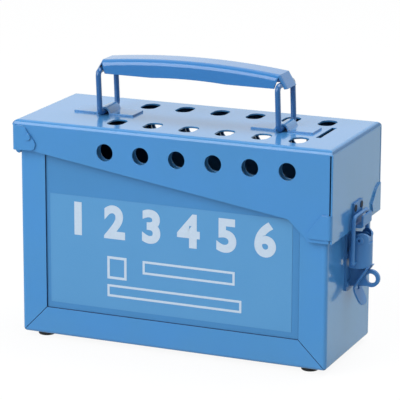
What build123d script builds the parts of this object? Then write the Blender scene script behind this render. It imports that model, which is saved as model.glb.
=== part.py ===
"""Group lockout box: a folded sheet steel box with a hinged lid, padlock holes and slots,
a folding carry handle and a draw latch.

Millimetres. While the pieces are made, x runs from the outside of the body's left wall,
y from the middle of its depth (front is -y) and z from the underside of its bottom sheet.
Each finished piece is then moved so that the origin lies on the standing surface,
in the middle of the whole object's length and depth.
"""
import os
from math import cos, radians, sin, tan
from build123d import *

# Sheet and body.
sheet = 1.2                     # steel sheet of the body and the lid
body_length = 225.0
body_depth = 88.4
body_bend = 2.5                 # outer bend radius of the body's folds
stile_left = 18.9               # front and back flanges of the body wrap
stile_right = 19.7
rail_bottom = 19.6
mitre_gap = 0.3
stile_top = 147.0
panel_top = 148.0
panel_edge_gap = 1.6            # from the inside of the wrap's walls to the panel's edge
film = 0.2                      # adhesive film on the front panel
film_margin = (3.1, 5.3, 4.4)   # from the left stile, the right stile and the bottom rail
film_top = 101.6

# Lid. The skirt's corners are measured in from the body's right end wall.
lid_over_left = 3.6             # how far the lid's panels stand out from the body
lid_over_right = 4.4
lid_over_depth = 4.3
lid_top = 152.0
lid_bend = 3.5
ear_bend = 2.6
corner_slit = 1.0
ear_low = 91.9                  # right front ear: distance in from the lid's end, height
ear_high = 108.4
ear_outline = ((7.1, 108.4), (16.8, 95.9), (16.2, 91.9))
flap_low = 90.4                 # right back flap: distance in from the lid's back, height
flap_high = 109.6
flap_outline = ((8.8, 107.9), (12.2, 105.2), (15.3, 101.9), (19.5, 98.2), (17.5, 92.4),
                (8.9, 90.4))
left_ear_top = 148.4            # both left ears: distance in from the corner, height
left_ear_outline = ((8.2, 148.4), (10.4, 146.9), (11.5, 144.9), (14.7, 140.9), (16.4, 139.2),
                    (17.8, 136.1), (16.8, 132.8), (14.5, 131.6))
left_ear_rise = 1.0             # the left ear's lower edge above the hinge line
skirt_left_z = 133.5            # the slanted lower edge of the front and back skirts
skirt_knee = (26.4, 103.1)
skirt_step = (15.1, 92.2)
skirt_foot = (13.4, 89.2)

# Padlock holes, slots and the key slit, placed from the body's right end wall.
hole_count = 6
hole_last_in = 27.35
hole_pitch = 26.35
hole_r = 6.0
hole_z = 135.2
slot_length = 18.0
slot_width = 11.4
slot_y = 27.7
slit_in = 18.1
slit_length = 32.4
slit_width = 3.4

# Hinge.
hinge_out = 1.2                 # the hinge line, out from the body's left wall
hinge_z = 130.2
hinge_inset = 0.2               # the ends of the knuckle row, in from the body's faces
knuckle_count = 5
knuckle_gap = 0.4
hinge_pin_r = 1.15
running_gap = 0.05
knuckle_clear = 0.6
roll_slit = 0.8
pin_head_r = 1.9
pin_head_h = 0.8

# Feet.
foot_r = 6.0
foot_height = 3.5
foot_round = 0.8
foot_inset_left = 13.2
foot_inset_right = 15.0
foot_inset_y = 11.2
foot_stem_r = 2.5
foot_bulb_r = 3.4
foot_bulb_h = 1.5

# Handle. The grip is measured from the loops' top bars.
handle_shift = -0.2             # middle of the two brackets from the middle of the body
handle_end_in = 46.7            # brackets' middles, in from the body's ends
loop_wire_r = 1.9
loop_half_width = 14.25         # wire centre to the middle
loop_height = 29.25             # bottom bar to top bar, wire centres
loop_corner = 3.5
loop_lean = 2.2                 # degrees that the handle stands off upright, to the left
bracket_length = 44.5
bracket_half_width = 8.6
bracket_sheet = 1.2
bracket_clear = 0.15            # loop wire to the lid's top and to the arch
grip_sheet = 1.0
grip_half_width = 11.5
grip_end_rise = 7.1             # top bar to the grip's top, at its ends
grip_crown = 3.8                # rise of the arched top towards its middle
grip_depth_end = 13.1
grip_depth_mid = 12.0
hood_fold_in = 0.5              # top bar in to the fold of the end hood
wall_end_in = 5.2               # top bar in to the lower end of the side walls
grip_shoulder = 4.5
grip_corner = 2.0
hood_angle = 31.0               # degrees off upright
hood_length = 10.7
notch_apex_drop = 1.6           # from the hood's fold down to the top of the V cut
bar_gap = 0.15                  # loop's top bar to the hood

# Latch. Its distances along x are measured out from the body's right end wall.
base_half_width = 9.5
base_z = (46.0, 88.0)
base_corner = 2.0
pivot_out = 10.15
pivot_z = 82.8
pivot_r = 1.5
base_ear_y = (3.8, 5.0)
base_ear_r = 2.6
base_ear_z = (75.5, 85.0)
base_ear_turns = (-120, 102)    # where the ear's straight edges meet its round end, degrees
lever_half_width = 9.5
lever_inner_out = 3.0
lever_arc_out = 6.3
lever_bottom_z = 63.0
lever_front_top = 80.0
lever_shoulder_z = 76.0
lever_lobe_r = 4.6
tail_half_width = 7.0
tail_corner = 5.5
tail_path = ((15.2, 63.6), (12.9, 60.2), (5.7, 48.9), (6.4, 45.4), (11.2, 36.0))
tail_bends = (1.4, 3.0, 3.0)
lever_slot_half = 2.0
lever_slot_z = (46.0, 64.0)
pin_head_gap = 0.1
pivot_head_r = 2.8
pivot_head_h = 1.1
pivot_hollow_r = 1.0            # the hollow ends of the pin
pivot_hollow_h = 1.8
staple_sheet = 2.5
staple_out = 15.8
staple_z = 54.8
staple_r = 6.0
staple_eye_r = 3.5
staple_turn = 114               # where the neck's edges meet the ring, degrees
staple_neck_z = (48.0, 62.0)
bail_wire_r = 1.4
bail_half_width = 14.2
bail_foot = (7.0, 67.1)
bail_bar = (7.4, 99.3)
bail_foot_y = 7.6
bail_foot_bend = 2.2
bail_top_bend = 3.5
keeper_half_width = 8.5
keeper_sheet = 1.2
keeper_top = 107.5
keeper_hook_z = 91.0            # underside of the hook
keeper_hook_out = 12.2          # outer face of the hook's lip
keeper_lip_top = 99.4
keeper_bend = 1.8

# Rivets.
rivet_r = 1.6
rivet_head_r = 2.4
rivet_head_h = 0.9
flat_head_h = 0.4
rivet_inner_h = 0.8
rivet_gap = 0.05
ear_rivet_in = 12.0             # from the lid's left corner
ear_rivet_z = 140.9
base_rivet_y = 6.5
base_rivet_z = (51.0, 71.0)
keeper_rivet_y = 5.9
keeper_rivet_z = 103.9

# Cutting solids run past the sheet by this much, and sheets merge over a hair.
past = 1.0
hair = 0.01

# Places that follow from the sizes.
body_half = body_depth / 2
panel_face = body_half - sheet
lid_left = -lid_over_left
lid_right = body_length + lid_over_right
lid_half = body_half + lid_over_depth
end_face = body_length + sheet
keeper_face = lid_right + keeper_sheet
hinge_x = -hinge_out
hinge_half = body_half - hinge_inset
knuckle_r = hinge_pin_r + running_gap + sheet
hole_xs = [body_length - hole_last_in - hole_pitch * i for i in reversed(range(hole_count))]
rivet_bore = rivet_r + rivet_gap
handle_x = body_length / 2 + handle_shift
loop_half_span = body_length / 2 - handle_end_in
arch_r = loop_wire_r * 2 + bracket_clear * 2
bar_z = lid_top + bracket_clear + loop_wire_r
top_bar_z = bar_z + loop_height
grip_top_half = loop_half_span - hood_fold_in
grip_wall_half = loop_half_span - wall_end_in
grip_top_end = top_bar_z + grip_end_rise
grip_bottom_end = grip_top_end - grip_depth_end
pivot_x = body_length + pivot_out
staple_x = body_length + staple_out


# Small makers.
def block(x0, x1, y0, y1, z0, z1):
    """A box between two corners."""
    size = Box(x1 - x0, y1 - y0, z1 - z0)
    return Pos((x0 + x1) / 2, (y0 + y1) / 2, (z0 + z1) / 2) * size


def prism_y(points, y0, y1):
    """An (x, z) outline carried along y."""
    plane = Plane(origin=(0, y0, 0), x_dir=(1, 0, 0), z_dir=(0, -1, 0))
    return extrude(plane * Polygon(*points, align=None), amount=y1 - y0, dir=(0, 1, 0))


def prism_x(points, x0, x1):
    """A (y, z) outline carried along x."""
    plane = Plane(origin=(x0, 0, 0), x_dir=(0, 1, 0), z_dir=(1, 0, 0))
    return extrude(plane * Polygon(*points, align=None), amount=x1 - x0, dir=(1, 0, 0))


def rod_x(y, z, radius, x0, x1):
    """A cylinder along x."""
    plane = Plane(origin=(x0, y, z), z_dir=(1, 0, 0))
    return extrude(plane * Circle(radius), amount=x1 - x0)


def rod_y(x, z, radius, y0, y1):
    """A cylinder along y."""
    plane = Plane(origin=(x, y0, z), z_dir=(0, 1, 0))
    return extrude(plane * Circle(radius), amount=y1 - y0)


def rod_z(x, y, radius, z0, z1):
    """A cylinder along z."""
    return extrude(Pos(x, y, z0) * Circle(radius), amount=z1 - z0)


def edges_at(shape, z):
    """The edges that lie at one height."""
    return [edge for edge in shape.edges() if abs(edge.center().Z - z) < hair]


def on_circle(x, z, radius, degrees):
    """A point of a circle about (x, z)."""
    return x + radius * cos(radians(degrees)), z + radius * sin(radians(degrees))


def wire_rod(points, radii, wire_r):
    """A round wire bent along a path."""
    path = FilletPolyline(*points, radius=radii)
    start = Plane(origin=path @ 0, z_dir=path % 0)
    return sweep(start * Circle(wire_r), path=path)


def fold_strip(points, radii, thickness, half_width):
    """A strip of sheet along y, folded along an (x, z) path through its mid thickness."""
    path = FilletPolyline(*[(x, -half_width, z) for x, z in points], radius=radii)
    start = Plane(origin=path @ 0, x_dir=(0, 1, 0), z_dir=path % 0)
    profile = start * Pos(half_width, 0) * Rectangle(half_width * 2, thickness)
    return sweep(profile, path=path)


# Body.
def rounded_tub(x0, x1, half, z0, z1, bend):
    """A block with rounded upright and bottom edges."""
    tub = block(x0, x1, -half, half, z0, z1)
    tub = fillet(tub.edges().filter_by(Axis.Z), bend)
    return fillet(edges_at(tub, z0), bend)


def knuckles(first):
    """The y spans of every second knuckle of the hinge."""
    step = 2 * hinge_half / knuckle_count
    spans = [(step * i - hinge_half, step * (i + 1) - hinge_half)
             for i in range(first, knuckle_count, 2)]
    return [(a + knuckle_gap / 2, b - knuckle_gap / 2) for a, b in spans]


def roll(y0, y1, slit_side):
    """One rolled knuckle, open by a slit beside the sheet that it is rolled from."""
    ring = rod_y(hinge_x, hinge_z, knuckle_r, y0, y1)
    ring -= rod_y(hinge_x, hinge_z, hinge_pin_r + running_gap, y0, y1)
    edge = hinge_x + slit_side * (knuckle_r - sheet)
    x0, x1 = sorted((edge, edge - slit_side * roll_slit))
    z0, z1 = sorted((hinge_z, hinge_z - slit_side * knuckle_r))
    return ring - block(x0, x1, y0, y1, z0, z1)


def make_body_wrap():
    """Left wall, bottom and right wall in one sheet, with flanges folded in front and behind."""
    wrap = rounded_tub(0, body_length, body_half, 0, stile_top, body_bend)
    wrap -= rounded_tub(sheet, body_length - sheet, body_half - sheet, sheet, stile_top + past,
                        body_bend - sheet)
    inner_right = body_length - stile_right
    wrap -= block(stile_left, inner_right, -body_depth, body_depth, rail_bottom, stile_top + past)
    for side in (-1, 1):
        y0, y1 = sorted((side * (body_half - sheet - hair), side * (body_half + past)))
        for tip, inner in ((body_bend, stile_left), (body_length - body_bend, inner_right)):
            wrap -= prism_y([(tip, body_bend), (tip, body_bend + mitre_gap),
                             (inner, rail_bottom + mitre_gap), (inner, rail_bottom)], y0, y1)
    wrap = roll_wrap_knuckles(wrap)
    for x in (foot_inset_left, body_length - foot_inset_right):
        for y in (foot_inset_y - body_half, body_half - foot_inset_y):
            wrap -= rod_z(x, y, foot_stem_r, -past, sheet + past)
    for y in (-base_rivet_y, base_rivet_y):
        for z in base_rivet_z:
            wrap -= rod_x(y, z, rivet_bore, body_length - sheet - past, body_length + past)
    return wrap


def roll_wrap_knuckles(wrap):
    """Notch the left wall for the lid's knuckles and roll the body's own."""
    notch_half = body_half - body_bend
    wrap -= block(-past, sheet + hair, -notch_half, notch_half, hinge_z, stile_top + past)
    for y0, y1 in knuckles(1):
        wrap -= block(-past, sheet + hair, y0 - knuckle_gap, y1 + knuckle_gap,
                      hinge_z - knuckle_r - knuckle_clear, hinge_z + past)
    for y0, y1 in knuckles(0):
        wrap += roll(y0, y1, 1)
    return wrap - rod_y(hinge_x, hinge_z, hinge_pin_r + running_gap, -body_depth, body_depth)


def make_panel(side):
    """The sheet that closes the front or the back, behind the wrap's flanges."""
    y0, y1 = sorted((side * panel_face, side * (panel_face - sheet)))
    edge = sheet + panel_edge_gap
    panel = block(edge, body_length - edge, y0, y1, edge, panel_top)
    for x in hole_xs:
        panel -= rod_y(x, hole_z, hole_r, y0 - past, y1 + past)
    return panel


def make_label():
    """A thin film on the front panel, between the flanges and below the skirt."""
    left, right, bottom = film_margin
    return block(stile_left + left, body_length - stile_right - right, -panel_face - film,
                 -panel_face, rail_bottom + bottom, film_top)


def make_foot(x, y):
    """A push-in rubber foot with its stem through the bottom sheet."""
    foot = rod_z(x, y, foot_r, -foot_height, 0)
    foot = fillet(edges_at(foot, -foot_height), foot_round)
    foot += rod_z(x, y, foot_stem_r, 0, sheet)
    return foot + rod_z(x, y, foot_bulb_r, sheet, sheet + foot_bulb_h)


def make_hinge_pin():
    """The long pin through all knuckles, peened at both ends."""
    end = hinge_half + pin_head_h
    pin = rod_y(hinge_x, hinge_z, hinge_pin_r, -end, end)
    for y0, y1 in ((-end, -hinge_half), (hinge_half, end)):
        pin += rod_y(hinge_x, hinge_z, pin_head_r, y0, y1)
    return pin


# Lid.
def skirt_cut(low):
    """Everything below the slanted lower edge of a skirt, down to low, as an (x, z) outline."""
    knee, step, foot = [(body_length - x, z) for x, z in (skirt_knee, skirt_step, skirt_foot)]
    left, right = lid_left - past, lid_right + past
    return [(left, skirt_left_z), knee, step, foot, (right, foot[1]), (right, low), (left, low)]


def corner_bend(x, y, toward_x, toward_y, z0, z1):
    """A quarter turn of sheet about an upright line at (x, y)."""
    ring = rod_z(x, y, ear_bend, z0, z1) - rod_z(x, y, ear_bend - sheet, z0, z1)
    x0, x1 = sorted((x, x + toward_x * ear_bend))
    y0, y1 = sorted((y, y + toward_y * ear_bend))
    return ring & block(x0, x1, y0, y1, z0, z1)


def front_ear(shell, end_x, toward_x, outline, z0, z1):
    """An ear folded from an end panel round the corner onto the front skirt."""
    x = end_x - toward_x * ear_bend
    y = -lid_half - sheet + ear_bend
    x0, x1 = sorted((x, end_x + toward_x * past))
    shell -= block(x0, x1, -lid_half - past, y, z0, z1)
    shell += corner_bend(x, y, toward_x, -1, z0, z1)
    return shell + prism_y([(x, z1)] + outline + [(x, z0)], -lid_half - sheet, -lid_half)


def back_flap(shell, end_x, toward_x, outline, z0, z1):
    """A flap folded from the back skirt round the corner onto an end panel."""
    x = end_x + toward_x * (sheet - ear_bend)
    y = lid_half - ear_bend
    x0, x1 = sorted((x, end_x + toward_x * past))
    shell -= block(x0, x1, y + ear_bend - sheet, lid_half + past, z0, z1)
    shell += corner_bend(x, y, toward_x, 1, z0, z1)
    x0, x1 = sorted((end_x, end_x + toward_x * sheet))
    return shell + prism_x([(y, z1)] + outline + [(y, z0)], x0, x1)


def make_lid_shell():
    """Top, skirts and end panels in one sheet, with ears folded round the corners."""
    foot_z = skirt_foot[1]
    low = foot_z - 2 * past
    outer = block(lid_left, lid_right, -lid_half, lid_half, low, lid_top)
    outer = fillet(edges_at(outer, lid_top), lid_bend)
    inner = block(lid_left + sheet, lid_right - sheet, -lid_half + sheet, lid_half - sheet,
                  low - past, lid_top - sheet)
    inner = fillet(edges_at(inner, lid_top - sheet), lid_bend - sheet)
    shell = outer - inner
    for side in (-1, 1):
        y0, y1 = sorted((side * (lid_half - sheet - hair), side * (lid_half + past)))
        below = prism_y(skirt_cut(low - past), y0, y1)
        if side < 0:
            below -= block(lid_right - sheet, lid_right + 2 * past, y0 - past, y1 + past,
                           low - 2 * past, lid_top)
        shell -= below
    shell -= block(lid_right - sheet - past, lid_right + past, -lid_half - past, lid_half + past,
                   low - past, foot_z)
    slit_end = lid_top - lid_bend
    shell -= block(lid_right - sheet - corner_slit, lid_right - sheet, -lid_half - past,
                   -lid_half + sheet + hair, low, slit_end)
    shell -= block(lid_right - sheet - hair, lid_right + past, lid_half - sheet - corner_slit,
                   lid_half - sheet, low, slit_end)
    return pierce_lid(add_lid_ears(cut_lid_left(shell, low)))


def cut_lid_left(shell, low):
    """Notch the left panel for the body's knuckles and roll its own."""
    notch_half = hinge_half + pin_head_h + knuckle_clear
    panel_low = hinge_z + knuckle_r + knuckle_clear
    outside, inside = lid_left - past, lid_left + sheet + hair
    shell -= block(outside, inside, -notch_half, notch_half, low - past, panel_low)
    shell -= block(outside, inside, -lid_half - past, lid_half + past, low - past,
                   hinge_z + left_ear_rise)
    for y0, y1 in knuckles(1):
        shell += roll(y0, y1, -1)
        shell += block(lid_left, lid_left + sheet, y0, y1, hinge_z, panel_low)
    return shell


def add_lid_ears(shell):
    """The four folded corners."""
    ear = [(lid_right - d, z) for d, z in ear_outline]
    shell = front_ear(shell, lid_right, 1, ear, ear_low, ear_high)
    flap = [(lid_half - d, z) for d, z in flap_outline]
    shell = back_flap(shell, lid_right, 1, flap, flap_low, flap_high)
    ear = [(lid_left + d, z) for d, z in left_ear_outline]
    shell = front_ear(shell, lid_left, -1, ear, hinge_z + left_ear_rise, left_ear_top)
    clear_z = hinge_z + knuckle_r + knuckle_clear
    flap = [(lid_half - d, max(z, clear_z)) for d, z in left_ear_outline[:-1]]
    return back_flap(shell, lid_left, -1, flap, clear_z, left_ear_top)


def pierce_lid(shell):
    """The round holes, the slots, the key slit and the rivets' holes."""
    under = lid_top - sheet - past
    for hole_x in hole_xs:
        shell -= rod_y(hole_x, hole_z, hole_r, -lid_half - past, lid_half + past)
        for y in (-slot_y, slot_y):
            slot = Pos(hole_x, y, under) * SlotOverall(slot_length, slot_width, 90)
            shell -= extrude(slot, amount=sheet + 2 * past)
    slit_x = body_length - slit_in
    shell -= block(slit_x - slit_width / 2, slit_x + slit_width / 2, -slit_length / 2,
                   slit_length / 2, under, lid_top + past)
    shell -= rod_y(lid_left + ear_rivet_in, ear_rivet_z, rivet_bore, -lid_half - 2 * sheet,
                   -lid_half + 2 * sheet)
    shell -= rod_x(lid_half - ear_rivet_in, ear_rivet_z, rivet_bore, lid_left - 2 * sheet,
                   lid_left + 2 * sheet)
    for y in (-keeper_rivet_y, keeper_rivet_y):
        shell -= rod_x(y, keeper_rivet_z, rivet_bore, lid_right - 2 * sheet, lid_right + past)
    return shell


def rivet(maker, a, b, head_at, inner_at, head_h):
    """A shank with an outer head and a formed inner end; head_at and inner_at are the faces."""
    out = 1 if head_at > inner_at else -1
    spans = ((rivet_head_r, head_at, head_at + out * head_h),
             (rivet_r, inner_at, head_at),
             (rivet_head_r, inner_at - out * rivet_inner_h, inner_at))
    shape = None
    for radius, p, q in spans:
        piece = maker(a, b, radius, min(p, q), max(p, q))
        shape = piece if shape is None else shape + piece
    return shape


def make_ear_rivets():
    """The rivets of the two left ears."""
    front = rivet(rod_y, lid_left + ear_rivet_in, ear_rivet_z, -lid_half - sheet,
                  -lid_half + sheet, rivet_head_h)
    back = rivet(rod_x, lid_half - ear_rivet_in, ear_rivet_z, lid_left - sheet,
                 lid_left + sheet, rivet_head_h)
    return Compound(children=[front, back])


# Handle.
def make_bracket(x):
    """A strap with a half-round arch over the loop's bottom bar."""
    strap = block(x - bracket_length / 2, x + bracket_length / 2, -bracket_half_width,
                  bracket_half_width, lid_top, lid_top + bracket_sheet)
    strap += rod_y(x, lid_top, arch_r + bracket_sheet, -bracket_half_width, bracket_half_width)
    strap -= rod_y(x, lid_top, arch_r, -bracket_half_width, bracket_half_width)
    below = arch_r + bracket_sheet + past
    return strap - block(x - below, x + below, -body_half, body_half, lid_top - below, lid_top)


def make_loop(x):
    """A closed wire loop, leaning about its bottom bar."""
    frame = Plane(origin=(0, 0, loop_height / 2), x_dir=(0, 1, 0), z_dir=(1, 0, 0))
    path = (frame * RectangleRounded(2 * loop_half_width, loop_height, loop_corner)).wire()
    start = Plane(origin=path @ 0, z_dir=path % 0)
    loop = sweep(start * Circle(loop_wire_r), path=path)
    return Pos(x, 0, bar_z) * Rot(0, -loop_lean, 0) * loop


def grip_body(inset):
    """The grip's outer form, or its hollow when inset by the sheet thickness."""
    half_width = grip_half_width - inset
    lean = radians(hood_angle)
    fold_in = inset * (1 - sin(lean)) / cos(lean)
    fold = (grip_top_half - fold_in, grip_top_end - inset)
    length = hood_length + inset
    tip = (fold[0] + length * sin(lean), fold[1] - length * cos(lean))
    top = ThreePointArc((-fold[0], 0, fold[1]), (0, 0, fold[1] + grip_crown),
                        (fold[0], 0, fold[1]))
    sides = Polyline((fold[0], 0, fold[1]), (tip[0], 0, tip[1]), (-tip[0], 0, tip[1]),
                     (-fold[0], 0, fold[1]))
    face = make_face([top, sides])
    body = extrude(face, amount=half_width, dir=(0, 1, 0))
    body += extrude(face, amount=half_width, dir=(0, -1, 0))
    crown = [edge for edge in body.edges()
             if abs(abs(edge.center().Y) - half_width) < hair and edge.center().Z > tip[1] + hair]
    return fillet(crown, grip_shoulder - inset)


def grip_trim(low, wide):
    """What lies below the arched lower edge of the side walls."""
    middle = grip_top_end + grip_crown - grip_depth_mid
    arch = ThreePointArc((-grip_wall_half, 0, grip_bottom_end), (0, 0, middle),
                         (grip_wall_half, 0, grip_bottom_end))
    frame = Polyline((grip_wall_half, 0, grip_bottom_end), (grip_wall_half, 0, low),
                     (-grip_wall_half, 0, low), (-grip_wall_half, 0, grip_bottom_end))
    face = make_face([arch, frame])
    return extrude(face, amount=wide, dir=(0, 1, 0)) + extrude(face, amount=wide, dir=(0, -1, 0))


def make_grip():
    """An arched channel, open below, with an end hood folded down past a V cut at each end."""
    grip = grip_body(0) - grip_body(grip_sheet)
    wide = grip_half_width + past
    low = top_bar_z - 2 * hood_length
    grip -= grip_trim(low, wide)
    apex = (grip_top_half - grip_sheet / 2, grip_top_end - notch_apex_drop)
    hood_low = apex[0] + (apex[1] - low) * tan(radians(hood_angle)) - grip_sheet
    wedge = [apex, (hood_low, low), (grip_wall_half - 2 * grip_corner, low),
             (grip_wall_half - grip_corner, grip_bottom_end),
             (grip_wall_half + grip_corner / 2, grip_bottom_end + grip_corner)]
    for side in (-1, 1):
        grip -= prism_y([(side * x, z) for x, z in wedge], -wide, wide)
        grip -= rod_y(side * loop_half_span, top_bar_z, loop_wire_r + bar_gap, -wide, wide)
    lean = radians(loop_lean)
    return Pos(handle_x - loop_height * sin(lean), 0, -loop_height * (1 - cos(lean))) * grip


# Latch.
def make_latch_base():
    """A plate on the end wall with two ears for the lever's pin."""
    plate = block(body_length, end_face, -base_half_width, base_half_width, *base_z)
    plate = fillet(plate.edges().filter_by(Axis.X), base_corner)
    low, high = [on_circle(pivot_x, pivot_z, base_ear_r, turn) for turn in base_ear_turns]
    reach = [(end_face - hair, base_ear_z[0]), low, high, (end_face - hair, base_ear_z[1])]
    for side in (-1, 1):
        y0, y1 = sorted((side * base_ear_y[0], side * base_ear_y[1]))
        plate += prism_y(reach, y0, y1) + rod_y(pivot_x, pivot_z, base_ear_r, y0, y1)
    plate -= rod_y(pivot_x, pivot_z, pivot_r + running_gap, -base_half_width, base_half_width)
    for y in (-base_rivet_y, base_rivet_y):
        for z in base_rivet_z:
            plate -= rod_x(y, z, rivet_bore, body_length - past, end_face + past)
    return plate


def make_staple():
    """A flat ring on a neck, standing out through the lever's slot."""
    y0, y1 = -staple_sheet / 2, staple_sheet / 2
    low, high = [on_circle(staple_x, staple_z, staple_r, turn)
                 for turn in (-staple_turn, staple_turn)]
    neck = [(end_face, staple_neck_z[0]), low, high, (end_face, staple_neck_z[1])]
    staple = prism_y(neck, y0, y1) + rod_y(staple_x, staple_z, staple_r, y0, y1)
    return staple - rod_y(staple_x, staple_z, staple_eye_r, y0 - past, y1 + past)


def make_base_rivets():
    """Four rivets through the latch base and the end wall."""
    rivets = [rivet(rod_x, y, z, end_face, body_length - sheet, rivet_head_h)
              for y in (-base_rivet_y, base_rivet_y) for z in base_rivet_z]
    return Compound(children=rivets)


def make_pivot_pin():
    """The lever's pin with a button head outside each wall."""
    inner = lever_half_width + pin_head_gap
    outer = inner + pivot_head_h
    pin = rod_y(pivot_x, pivot_z, pivot_r, -inner, inner)
    for y0, y1 in ((-outer, -inner), (inner, outer)):
        pin += rod_y(pivot_x, pivot_z, pivot_head_r, y0, y1)
    for y0, y1 in ((-outer, pivot_hollow_h - outer), (outer - pivot_hollow_h, outer)):
        pin -= rod_y(pivot_x, pivot_z, pivot_hollow_r, y0, y1)
    return pin


def lever_section(half_width):
    """The channel's outer form in plan: straight sides and a round front."""
    x0, x1 = body_length + lever_inner_out - past, body_length + lever_arc_out
    form = Pos((x0 + x1) / 2, 0) * Rectangle(x1 - x0, 2 * half_width)
    return form + Pos(x1, 0) * Circle(half_width)


def make_tail():
    """The strip below the channel, bent in and flared out again, with a round end."""
    path = [(body_length + x, z) for x, z in tail_path]
    tail = fold_strip(path, tail_bends, sheet, tail_half_width)
    end_x, end_z = path[-1]
    corners = [edge for edge in tail.edges()
               if abs(edge.center().X - end_x) < hair and abs(edge.center().Z - end_z) < hair
               and edge.length < 2 * sheet]
    return fillet(corners, tail_corner)


def make_lever():
    """A round-fronted channel with two lobes on the pin and a slotted tail."""
    top = pivot_z + lever_lobe_r + past
    form = extrude(Pos(0, 0, lever_bottom_z) * lever_section(lever_half_width),
                   amount=top - lever_bottom_z)
    hollow = extrude(Pos(0, 0, lever_bottom_z) * lever_section(lever_half_width - sheet),
                     amount=top - lever_bottom_z)
    inner = body_length + lever_inner_out
    front = body_length + lever_arc_out + lever_half_width + past
    reach = lever_half_width + past
    side = prism_y([(inner, lever_bottom_z), (front, lever_bottom_z), (front, lever_front_top),
                    (pivot_x + lever_lobe_r, lever_front_top), (pivot_x + lever_lobe_r, pivot_z),
                    (pivot_x - lever_lobe_r, pivot_z), (inner, lever_shoulder_z)], -reach, reach)
    side += rod_y(pivot_x, pivot_z, lever_lobe_r, -reach, reach)
    tail = make_tail() - (block(inner, front, -reach, reach, lever_bottom_z, top) - form)
    lever = ((form - hollow) & side) + tail
    lever -= block(inner, front, -lever_slot_half, lever_slot_half, *lever_slot_z)
    lever -= rod_y(pivot_x, pivot_z, pivot_r + running_gap, -reach, reach)
    foot_x, foot_z = bail_foot
    return lever - rod_y(body_length + foot_x, foot_z, bail_wire_r + running_gap, -reach, reach)


def make_bail():
    """A wire bow from the lever's walls up to the bar in the keeper's hook."""
    foot_x, bar_x = body_length + bail_foot[0], body_length + bail_bar[0]
    points = []
    for side in (-1, 1):
        wide = side * bail_half_width
        leg = [(foot_x, side * bail_foot_y, bail_foot[1]), (foot_x, wide, bail_foot[1]),
               (bar_x, wide, bail_bar[1])]
        points += leg if side < 0 else leg[::-1]
    radii = [bail_foot_bend, bail_top_bend, bail_top_bend, bail_foot_bend]
    return wire_rod(points, radii, bail_wire_r)


def make_keeper():
    """A plate on the lid's end with its lower edge folded out and up into a hook."""
    middle = lid_right + keeper_sheet / 2
    floor = keeper_hook_z + keeper_sheet / 2
    lip = body_length + keeper_hook_out - keeper_sheet / 2
    path = ((middle, keeper_top), (middle, floor), (lip, floor), (lip, keeper_lip_top))
    keeper = fold_strip(path, (keeper_bend, keeper_bend), keeper_sheet, keeper_half_width)
    for y in (-keeper_rivet_y, keeper_rivet_y):
        keeper -= rod_x(y, keeper_rivet_z, rivet_bore, lid_right - past, keeper_face + past)
    return keeper


def make_keeper_rivets():
    """Two flat-headed rivets through the keeper and the lid's end panel."""
    rivets = [rivet(rod_x, y, keeper_rivet_z, keeper_face, lid_right - sheet, flat_head_h)
              for y in (-keeper_rivet_y, keeper_rivet_y)]
    return Compound(children=rivets)


# All pieces.
foot_left = foot_inset_left
foot_right = body_length - foot_inset_right
foot_y = body_half - foot_inset_y
pieces = {
    "body_wrap": make_body_wrap(),
    "front_panel": make_panel(-1),
    "back_panel": make_panel(1),
    "front_label": make_label(),
    "foot_front_left": make_foot(foot_left, -foot_y),
    "foot_front_right": make_foot(foot_right, -foot_y),
    "foot_back_left": make_foot(foot_left, foot_y),
    "foot_back_right": make_foot(foot_right, foot_y),
    "hinge_pin": make_hinge_pin(),
    "latch_base": make_latch_base(),
    "padlock_staple": make_staple(),
    "latch_base_rivets": make_base_rivets(),
    "latch_pivot_pin": make_pivot_pin(),
    "lid_shell": make_lid_shell(),
    "lid_ear_rivets": make_ear_rivets(),
    "latch_keeper": make_keeper(),
    "keeper_rivets": make_keeper_rivets(),
    "handle_bracket_left": make_bracket(handle_x - loop_half_span),
    "handle_bracket_right": make_bracket(handle_x + loop_half_span),
    "handle_loop_left": make_loop(handle_x - loop_half_span),
    "handle_loop_right": make_loop(handle_x + loop_half_span),
    "handle_grip": make_grip(),
    "latch_lever": make_lever(),
    "latch_bail": make_bail(),
}

left_end = lid_left - sheet - rivet_head_h
right_end = staple_x + staple_r
front_end = -lid_half - sheet - rivet_head_h
to_origin = Pos(-(left_end + right_end) / 2, -(front_end + lid_half) / 2, foot_height)
os.makedirs("parts", exist_ok=True)
for name, shape in pieces.items():
    export_step(to_origin * shape, f"parts/{name}.step")
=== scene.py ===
"""Group lockout box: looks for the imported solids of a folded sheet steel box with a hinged,
slotted lid, a folding carry handle and a draw latch. Everything is in metres.
"""
from math import radians
import bpy
from mathutils import Matrix, Vector


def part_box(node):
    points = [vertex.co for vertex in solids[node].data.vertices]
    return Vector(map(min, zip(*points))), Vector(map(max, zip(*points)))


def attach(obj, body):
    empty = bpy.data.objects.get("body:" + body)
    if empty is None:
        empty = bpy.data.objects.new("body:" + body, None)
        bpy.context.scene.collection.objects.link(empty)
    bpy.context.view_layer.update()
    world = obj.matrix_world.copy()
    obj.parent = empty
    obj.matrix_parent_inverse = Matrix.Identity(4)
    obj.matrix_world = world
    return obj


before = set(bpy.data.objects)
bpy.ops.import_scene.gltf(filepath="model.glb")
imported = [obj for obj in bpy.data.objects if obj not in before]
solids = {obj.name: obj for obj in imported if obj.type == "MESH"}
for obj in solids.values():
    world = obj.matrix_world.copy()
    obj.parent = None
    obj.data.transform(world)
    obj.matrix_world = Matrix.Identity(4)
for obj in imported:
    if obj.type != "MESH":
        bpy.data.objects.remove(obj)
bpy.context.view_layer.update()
bpy.ops.object.select_all(action="DESELECT")


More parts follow.
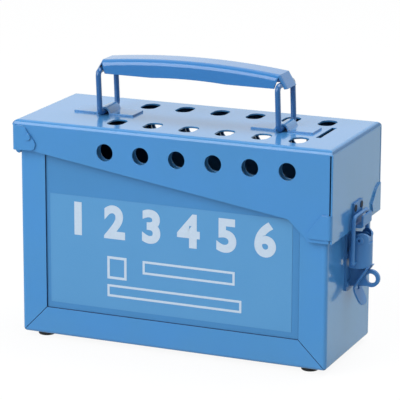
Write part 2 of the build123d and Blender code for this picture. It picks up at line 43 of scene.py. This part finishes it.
# The camera stands in front and to the right of the box and looks a little down on it.
# Its place and lens come from the box's own straight edges in the photograph.
lens_mm = 212.4
sensor_mm = 36.0
view_end = 50.0
camera_at = (0.60704, -1.44654, 0.51099)
camera_heading = 22.924             # degrees, as are the next two
camera_tilt = 75.327
camera_roll = 0.209
bpy.ops.object.camera_add(location=camera_at)
camera = bpy.context.object
camera.data.lens = lens_mm
camera.data.sensor_width = sensor_mm
camera.data.clip_end = view_end
turn = Matrix.Rotation(radians(camera_heading), 4, "Z")
turn = turn @ Matrix.Rotation(radians(camera_tilt), 4, "X")
turn = turn @ Matrix.Rotation(radians(camera_roll), 4, "Z")
camera.matrix_world = Matrix.Translation(camera_at) @ turn
bpy.context.scene.camera = camera
bpy.context.scene.view_settings.view_transform = "Standard"


# The floor is a flat pale sweep under soft lamps. The camera sees it nearly white, with part of
# the shadow kept. In reflections the floor and the room are pale behind the box and dark in front.
class Wire:
    """A socket of a material's nodes; sums and products of wires add their Math nodes."""

    def __init__(self, tree, socket=None):
        self.tree, self.socket = tree, socket

    def node(self, kind, settings=(), values=(), output=0):
        """Any node: its settings first, then the values or wires of its sockets."""
        made = self.tree.nodes.new("ShaderNode" + kind)
        for name, value in dict(settings).items():
            setattr(made, name, value)
        for name, value in dict(values).items():
            if isinstance(value, Wire):
                self.tree.links.new(value.socket, made.inputs[name])
            else:
                made.inputs[name].default_value = value
        return Wire(self.tree, made.outputs[output])

    def maths(self, operation, a, b=0.0):
        """A Math node on one or two values or wires."""
        return self.node("Math", {"operation": operation}, {0: a, 1: b})

    def __add__(self, other):
        return self.maths("ADD", self, other)

    __radd__ = __add__

    def __sub__(self, other):
        return self.maths("SUBTRACT", self, other)

    def __rsub__(self, other):
        return self.maths("SUBTRACT", other, self)

    def __mul__(self, other):
        return self.maths("MULTIPLY", self, other)

    __rmul__ = __mul__

    def over(self, edge, soft):
        """0 below an edge and 1 above it, turning over a soft width."""
        return self.node("MapRange", {"interpolation_type": "SMOOTHSTEP"},
                         {0: self, 1: edge - soft, 2: edge + soft, 3: 0.0, 4: 1.0})

    def blend(self, low, high):
        """One colour where this wire is 0 and another where it is 1."""
        return self.node("Mix", {"data_type": "RGBA"}, {0: self, 6: low, 7: high}, output=2)

    def noise(self, place, scale, detail=2.0):
        """Noise from 0 to 1 at a place; the scale is about its grains in a metre."""
        return self.node("TexNoise", {"noise_dimensions": "3D"},
                         {"Vector": place, "Scale": scale, "Detail": detail})


white = (1.0, 1.0, 1.0, 1.0)
floor_half = 6.0
floor_drop = 0.0002
floor_bounce = (0.60, 0.60, 0.61, 1.0)      # the grey that lights the object from below
floor_in_front = (0.18, 0.18, 0.19, 1.0)
floor_behind = (0.75, 0.82, 0.75, 1.0)
floor_turn, floor_turn_soft = -0.05, 0.1    # where it turns from one to the other, in Y
white_share = 0.92                          # what the camera sees as plain white
bpy.ops.mesh.primitive_plane_add(size=2 * floor_half, location=(0, 0, -floor_drop))
floor = bpy.context.object
floor.name = "floor"
floor_paint = bpy.data.materials.new("floor_white")
floor_paint.use_nodes = True
tree = floor_paint.node_tree
tree.nodes.remove(tree.nodes["Principled BSDF"])
wire = Wire(tree)
ray = wire.node("LightPath", output="Is Camera Ray")
glossy = wire.node("LightPath", output="Is Glossy Ray")
flat = wire.node("BsdfDiffuse", values={"Color": ray.blend(floor_bounce, white)})
place = wire.node("TexCoord", output="Object")
behind = wire.node("SeparateXYZ", values={0: place}, output="Y").over(floor_turn, floor_turn_soft)
glow = wire.node("Emission", values={"Color": white, "Strength": 1.0})
dark = wire.node("BsdfDiffuse", values={"Color": floor_in_front})
pale = wire.node("Emission", values={"Color": floor_behind, "Strength": 1.0})
sheen = wire.node("MixShader", values={0: behind, 1: dark, 2: pale})
plain = wire.node("MixShader", values={0: glossy, 1: flat, 2: sheen})
seen = wire.node("MixShader", values={0: ray * white_share, 1: plain, 2: glow})
tree.links.new(seen.socket, tree.nodes["Material Output"].inputs["Surface"])
floor.data.materials.append(floor_paint)

# The room lights the object softly, and the camera sees it white.
room_light = (0.93, 0.96, 1.0, 1.0)
room_strength = 0.50
room_in_front = (0.20, 0.20, 0.21, 1.0)
room_behind = (0.96, 1.0, 1.0, 1.0)
room_turn, room_turn_soft = 0.1, 0.5
world = bpy.data.worlds.new("studio")
bpy.context.scene.world = world
world.use_nodes = True
tree = world.node_tree
wire = Wire(tree)
ray = wire.node("LightPath", output="Is Camera Ray")
glossy = wire.node("LightPath", output="Is Glossy Ray")
place = wire.node("TexCoord", output="Generated")
behind = wire.node("SeparateXYZ", values={0: place}, output="Y").over(room_turn, room_turn_soft)
dim = wire.node("Background", values={"Color": room_light, "Strength": room_strength})
plain = wire.node("Background", values={"Color": white, "Strength": 1.0})
dark = wire.node("Background", values={"Color": room_in_front, "Strength": 1.0})
pale = wire.node("Background", values={"Color": room_behind, "Strength": 1.0})
sheen = wire.node("MixShader", values={0: behind, 1: dark, 2: pale})
lit = wire.node("MixShader", values={0: glossy, 1: dim, 2: sheen})
seen = wire.node("MixShader", values={0: ray, 1: lit, 2: plain})
tree.links.new(seen.socket, tree.nodes["World Output"].inputs["Surface"])

lamps_aim = Vector((0, 0, 0.08))


def lamp(name, place, size, power):
    """A square soft box that faces the middle of the object."""
    bpy.ops.object.light_add(type="AREA", location=place)
    made = bpy.context.object
    made.name = name
    made.data.size = size
    made.data.energy = power
    aim = lamps_aim - Vector(place)
    made.rotation_euler = aim.to_track_quat("-Z", "Y").to_euler()


lamp("key_lamp", (-1.2, -2.1, 1.5), size=2.4, power=62.0)
lamp("top_lamp", (0.45, 0.5, 2.2), size=1.4, power=26.0)


# The blue enamel of every steel piece: a thick, glossy baked coat with a faint orange peel,
# a little darker and greener in slow patches, and round over the edges of the sheet.
patch_scale = 22.0
patch_edge, patch_soft = 0.52, 0.22
speck_scale = 420.0
patch_deep, speck_deep = 0.55, 0.3      # how far each goes to the deeper blue
patch_dull, speck_dull = 0.05, 0.04     # and how much it adds to the roughness
peel_fine = 900.0
peel_coarse = 160.0
peel_fine_share = 0.5
peel_height = 0.0004
edge_round = 0.00045


def new_material(name):
    """A material with a bare shader; gives the material, its shader node and a wire."""
    made = bpy.data.materials.new(name)
    made.use_nodes = True
    tree = made.node_tree
    return made, tree.nodes["Principled BSDF"], Wire(tree)


def feed(shader, wires):
    """Links wires to a shader's sockets by the sockets' names."""
    for name, wire in wires.items():
        wire.tree.links.new(wire.socket, shader.inputs[name])


def enamel(name, colour, deep, rough=0.13, coat=0.35):
    """Enamel that varies between two near blues."""
    made, shader, wire = new_material(name)
    place = wire.node("TexCoord", output="Object")
    patches = wire.noise(place, patch_scale, detail=3.0).over(patch_edge, patch_soft)
    specks = wire.noise(place, speck_scale)
    varied = patches * patch_deep + specks * speck_deep
    fine = wire.noise(place, peel_fine, detail=1.0)
    peel = fine * peel_fine_share + wire.noise(place, peel_coarse)
    round_edges = wire.node("Bevel", {"samples": 4}, {"Radius": edge_round})
    bump = wire.node("Bump", values={"Strength": 0.05, "Distance": peel_height, "Height": peel,
                                     "Normal": round_edges})
    feed(shader, {"Base Color": varied.blend((*colour, 1.0), (*deep, 1.0)),
                  "Roughness": patches * patch_dull + (specks * speck_dull + rough),
                  "Normal": bump})
    shader.inputs["Coat Weight"].default_value = coat
    shader.inputs["Coat Roughness"].default_value = 0.05
    return made


def dress(material, *names):
    """Gives a finish to CAD nodes, in the slots that they have."""
    for name in names:
        for slot in solids[name].material_slots:
            slot.material = material


# The body: one folded sheet for the left wall, bottom and right wall with mitred flanges,
# and a flat sheet set behind the flanges in front and behind. All 1.2 mm steel.
body_blue = enamel("enamel_body", (0.066, 0.268, 0.600), (0.072, 0.272, 0.545))
dress(body_blue, "body_wrap")
panel_blue = enamel("enamel_panel", (0.064, 0.250, 0.540), (0.060, 0.236, 0.490))
dress(panel_blue, "front_panel", "back_panel")

# The inside of the box gets painted shade, a dark blue: within the walls and between the panels.
sheet = 0.0012
wall_x = (-0.12055, 0.10445)        # outside of the left and right walls
edge_x = (-0.10165, 0.08475)        # cut edges of the left and right flanges
bottom_z = 0.0035                   # outside of the bottom
edge_z = 0.0231                     # cut edge of the bottom's flange
panel_low, panel_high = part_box("front_panel")
rear_low, rear_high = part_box("back_panel")
inner_shade_blue = (0.024, 0.095, 0.210, 1.0)


def painted(material):
    """The shader of an enamel, its colour as a wire, and the place across, deep and up."""
    shader = material.node_tree.nodes["Principled BSDF"]
    paint = Wire(material.node_tree, shader.inputs["Base Color"].links[0].from_socket)
    place = paint.node("TexCoord", output="Object")
    axes = [paint.node("SeparateXYZ", values={0: place}, output=axis) for axis in "XYZ"]
    return shader, paint, axes


def paint_inner_shade(material, low, high):
    """Paints shade on an enamel inside a box, and on the faces that bound it."""
    shader, paint, axes = painted(material)
    grown, soft = sheet / 6, sheet / 12
    field = 1.0
    for along, start, end in zip(axes, low, high):
        field = field * along.over(start - grown, soft)
        field = field * (1.0 - along.over(end + grown, soft))
    feed(shader, {"Base Color": field.blend(paint, inner_shade_blue)})


paint_inner_shade(body_blue, (wall_x[0] + sheet, panel_low.y, bottom_z + sheet),
          (wall_x[1] - sheet, rear_high.y, panel_high.z))
paint_inner_shade(panel_blue, (panel_low.x, panel_high.y, panel_low.z),
          (panel_high.x, rear_low.y, panel_high.z))

# Little light reaches the seams, so they read as dark lines: the panels are dark where the
# flanges cover them, and the flanges on their cut edges and in the two mitres.
seam_navy = (0.010, 0.050, 0.140, 1.0)
seam_dull = 0.7                     # added to the roughness in a seam
cut_grown, cut_soft = 0.0001, 0.00003
mitre_half, mitre_soft = 0.00022, 0.00004
covered_soft = 0.0005


def opening(across, up, grown, soft):
    """1 in the opening between the flanges, grown by a little, and 0 outside."""
    sides = across.over(edge_x[0] - grown, soft) * (1.0 - across.over(edge_x[1] + grown, soft))
    return sides * up.over(edge_z - grown, soft)


def darken(material, lines):
    """Paints shade on an enamel, dark and dull, by a field of the place across, deep and up."""
    shader, paint, axes = painted(material)
    field = lines(paint, *axes)
    dull = Wire(paint.tree, shader.inputs["Roughness"].links[0].from_socket) + field * seam_dull
    coat = (1.0 - field) * shader.inputs["Coat Weight"].default_value
    feed(shader, {"Base Color": field.blend(paint, seam_navy), "Roughness": dull,
                  "Coat Weight": coat})


def body_lines(wire, across, deep, up):
    """1 on the flanges' cut edges and along their mitres."""
    edges = opening(across, up, cut_grown, cut_soft)
    for wall, edge in zip(wall_x, edge_x):
        run = abs(edge - wall)
        rise = edge_z - bottom_z
        inward = (across - wall) * (1.0 if edge > wall else -1.0)
        beside = (inward * rise - (up - bottom_z) * run) * (1.0 / (run * run + rise * rise) ** 0.5)
        mitre = 1.0 - wire.maths("ABSOLUTE", beside).over(mitre_half, mitre_soft)
        edges = wire.maths("MAXIMUM", edges, mitre)
    return edges


def panel_lines(wire, across, deep, up):
    """1 where the flanges cover a panel's outer face."""
    covered = 1.0 - opening(across, up, 0.0, covered_soft)
    from_front = deep.over(panel_high.y - sheet / 2, sheet / 12)
    inner_faces = from_front * (1.0 - deep.over(rear_low.y + sheet / 2, sheet / 12))
    return covered * (1.0 - inner_faces)


darken(body_blue, body_lines)
darken(panel_blue, panel_lines)


# The label: a thin printed film on the front panel, a little paler than the enamel, with a
# satin face. Its print is plain: six numbered places, a blank square and two blank strips.
film, shader, wire = new_material("label_film")
place = wire.node("TexCoord", output="Object")
clouds = wire.noise(place, 30.0, detail=3.0)
grain = wire.noise(place, 800.0)
shade = (clouds * 0.6 + grain * 0.4).blend((0.088, 0.292, 0.560, 1.0), (0.104, 0.318, 0.585, 1.0))
bump = wire.node("Bump", values={"Strength": 0.04, "Distance": 0.0003, "Height": grain})
feed(shader, {"Base Color": shade, "Roughness": clouds * 0.08 + 0.2, "Normal": bump})
dress(film, "front_label")

ink, shader, wire = new_material("label_ink")
place = wire.node("TexCoord", output="Object")
mottle = wire.noise(place, 500.0, detail=3.0)
shade = mottle.blend((0.47, 0.58, 0.70, 1.0), (0.56, 0.67, 0.78, 1.0))
feed(shader, {"Base Color": shade, "Roughness": mottle * 0.1 + 0.3})

# The numbers are bold text, made a mesh and joined. The square and the strips are outlines.
print_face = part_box("front_label")[0].y
print_depth = 0.00006
number_count = 6
number_height = 0.0222
figure_share = 0.729                # a figure's height as a share of the font's size
number_swell = 0.0013               # makes the strokes bolder
number_first_x = -0.0775
number_pitch = 0.0275
number_low_z = 0.0788
stand = Matrix.Rotation(radians(90), 4, "X")
prints = []
for count in range(number_count):
    bpy.ops.object.text_add()
    figure = bpy.context.object
    figure.data.body = str(count + 1)
    figure.data.align_x = "CENTER"
    figure.data.size = number_height / figure_share
    figure.data.offset = number_swell
    figure.data.extrude = print_depth / 2
    figure.data.resolution_u = 8
    x = number_first_x + number_pitch * count
    spot = (x, print_face - print_depth / 2, number_low_z)
    figure.matrix_world = Matrix.Translation(spot) @ stand
    prints.append(figure)
bpy.ops.object.select_all(action="DESELECT")
for figure in prints:
    figure.select_set(True)
bpy.context.view_layer.objects.active = prints[0]
bpy.ops.object.convert(target="MESH")
bpy.ops.object.join()
numbers = bpy.context.object
numbers.name = "label_numbers"
bpy.ops.object.transform_apply(location=True, rotation=True, scale=True)
bpy.ops.object.mode_set(mode="EDIT")
bpy.ops.mesh.select_all(action="SELECT")
bpy.ops.mesh.remove_doubles(threshold=0.000002)
bpy.ops.mesh.normals_make_consistent(inside=False)
bpy.ops.object.mode_set(mode="OBJECT")
numbers.data.materials.clear()
numbers.data.materials.append(ink)
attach(numbers, "box")


def print_frame(name, left, right, low, high, line):
    """A printed outline on the label: a flat plate inset in edit mode and opened."""
    bpy.ops.object.select_all(action="DESELECT")
    middle = ((left + right) / 2, print_face - print_depth, (low + high) / 2)
    bpy.ops.mesh.primitive_plane_add(size=1.0, location=middle, rotation=(radians(90), 0, 0))
    plate = bpy.context.object
    plate.name = name
    plate.scale = (right - left, high - low, 1.0)
    bpy.ops.object.transform_apply(location=True, rotation=True, scale=True)
    bpy.ops.object.mode_set(mode="EDIT")
    bpy.ops.mesh.select_all(action="SELECT")
    bpy.ops.mesh.inset(thickness=line)
    bpy.ops.mesh.delete(type="FACE")
    bpy.ops.mesh.select_all(action="SELECT")
    bpy.ops.mesh.extrude_region_move(TRANSFORM_OT_translate={"value": (0, print_depth, 0)})
    bpy.ops.mesh.select_all(action="SELECT")
    bpy.ops.mesh.normals_make_consistent(inside=False)
    bpy.ops.object.mode_set(mode="OBJECT")
    plate.data.materials.append(ink)
    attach(plate, "box")


print_frame("label_square", -0.0556, -0.0411, 0.0490, 0.0650, line=0.0018)
print_frame("label_strip_upper", -0.0291, 0.0385, 0.0550, 0.0645, line=0.0016)
print_frame("label_strip_lower", -0.0556, 0.0435, 0.0363, 0.0450, line=0.0016)


# Four moulded rubber feet with a matt skin. Each is a push-in bumper, whose stem passes through
# the bottom of the body.
rubber, shader, wire = new_material("foot_rubber")
place = wire.node("TexCoord", output="Object")
skin = wire.noise(place, 900.0, detail=3.0)
shade = skin.blend((0.010, 0.010, 0.011, 1.0), (0.028, 0.028, 0.030, 1.0))
bump = wire.node("Bump", values={"Strength": 0.2, "Distance": 0.0002, "Height": skin})
feed(shader, {"Base Color": shade, "Roughness": skin * 0.2 + 0.6, "Normal": bump})
dress(rubber, "foot_front_left", "foot_front_right", "foot_back_left", "foot_back_right")


# The hinge pin runs through five rolled knuckles under the lid's left end, and was enamelled
# with the box.
dress(body_blue, "hinge_pin")


# The latch's base plate with its four rivets, the lever's pin, and the flat ring that takes
# the padlock. Small pieces hold a thicker, darker and duller coat.
latch_blue = enamel("enamel_latch", (0.053, 0.228, 0.540), (0.045, 0.195, 0.480),
                    rough=0.38, coat=0.1)
dress(latch_blue, "latch_base", "latch_base_rivets", "latch_pivot_pin", "padlock_staple")


# The lid: one folded sheet with slanted skirts and folded corner ears. Two rivets hold the
# left ears, and the latch's keeper is riveted on the right end.
lid_blue = enamel("enamel_lid", (0.066, 0.262, 0.585), (0.062, 0.250, 0.520))
dress(lid_blue, "lid_shell", "lid_ear_rivets")
lid_low, lid_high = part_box("lid_shell")
skirt_off = 0.0043                  # from a panel's outer face to the inside of its skirt
lid_ends = (-0.12415, 0.10885)      # outside of its end panels
# The lid's inside gets the same painted shade.
paint_inner_shade(lid_blue, (lid_ends[0] + sheet, panel_low.y - skirt_off, lid_low.z),
          (lid_ends[1] - sheet, rear_high.y + skirt_off, lid_high.z - sheet))

# The bends at the two ends get a little painted shade, as far in and down as this.
bend_in, bend_in_soft = 0.0013, 0.0007
bend_down, bend_down_soft = 0.0025, 0.0004
bend_shade = 0.5


def end_bends(wire, across, deep, up):
    """Painted shade along the bends between the lid's top and its end panels, up to a set share.
    """
    middle = (lid_ends[0] + lid_ends[1]) / 2
    from_middle = wire.maths("ABSOLUTE", across - middle)
    near_end = from_middle.over(lid_ends[1] - middle - bend_in, bend_in_soft)
    return near_end * up.over(lid_high.z - bend_down, bend_down_soft) * bend_shade


darken(lid_blue, end_bends)
dress(latch_blue, "latch_keeper")
# The keeper's rivet heads are near black: painted shade for two dark spots above the keeper's lip.
keeper_rivet_shade = enamel("keeper_rivet_painted_shade", (0.006, 0.018, 0.050), (0.005, 0.014, 0.040),
                    rough=0.7, coat=0.0)
dress(keeper_rivet_shade, "keeper_rivets")


# The handle: two half-round saddle brackets on the lid, two loops of 3.8 mm steel wire that
# fold in them, and a formed sheet channel as the grip, folded over the loops' top bars.
wire_blue = enamel("enamel_wire", (0.032, 0.145, 0.370), (0.026, 0.120, 0.320),
                   rough=0.16, coat=0.4)
dress(lid_blue, "handle_bracket_left", "handle_bracket_right")
dress(wire_blue, "handle_loop_left", "handle_loop_right")
grip_blue = enamel("enamel_grip", (0.034, 0.198, 0.500), (0.030, 0.180, 0.460),
                   rough=0.14, coat=0.45)
dress(grip_blue, "handle_grip")


# The draw latch: a round-fronted lever with a bent, slotted tail, and a wire bail on it that
# hooks over the keeper. Both have the coat of the latch's other pieces.
dress(latch_blue, "latch_lever", "latch_bail")
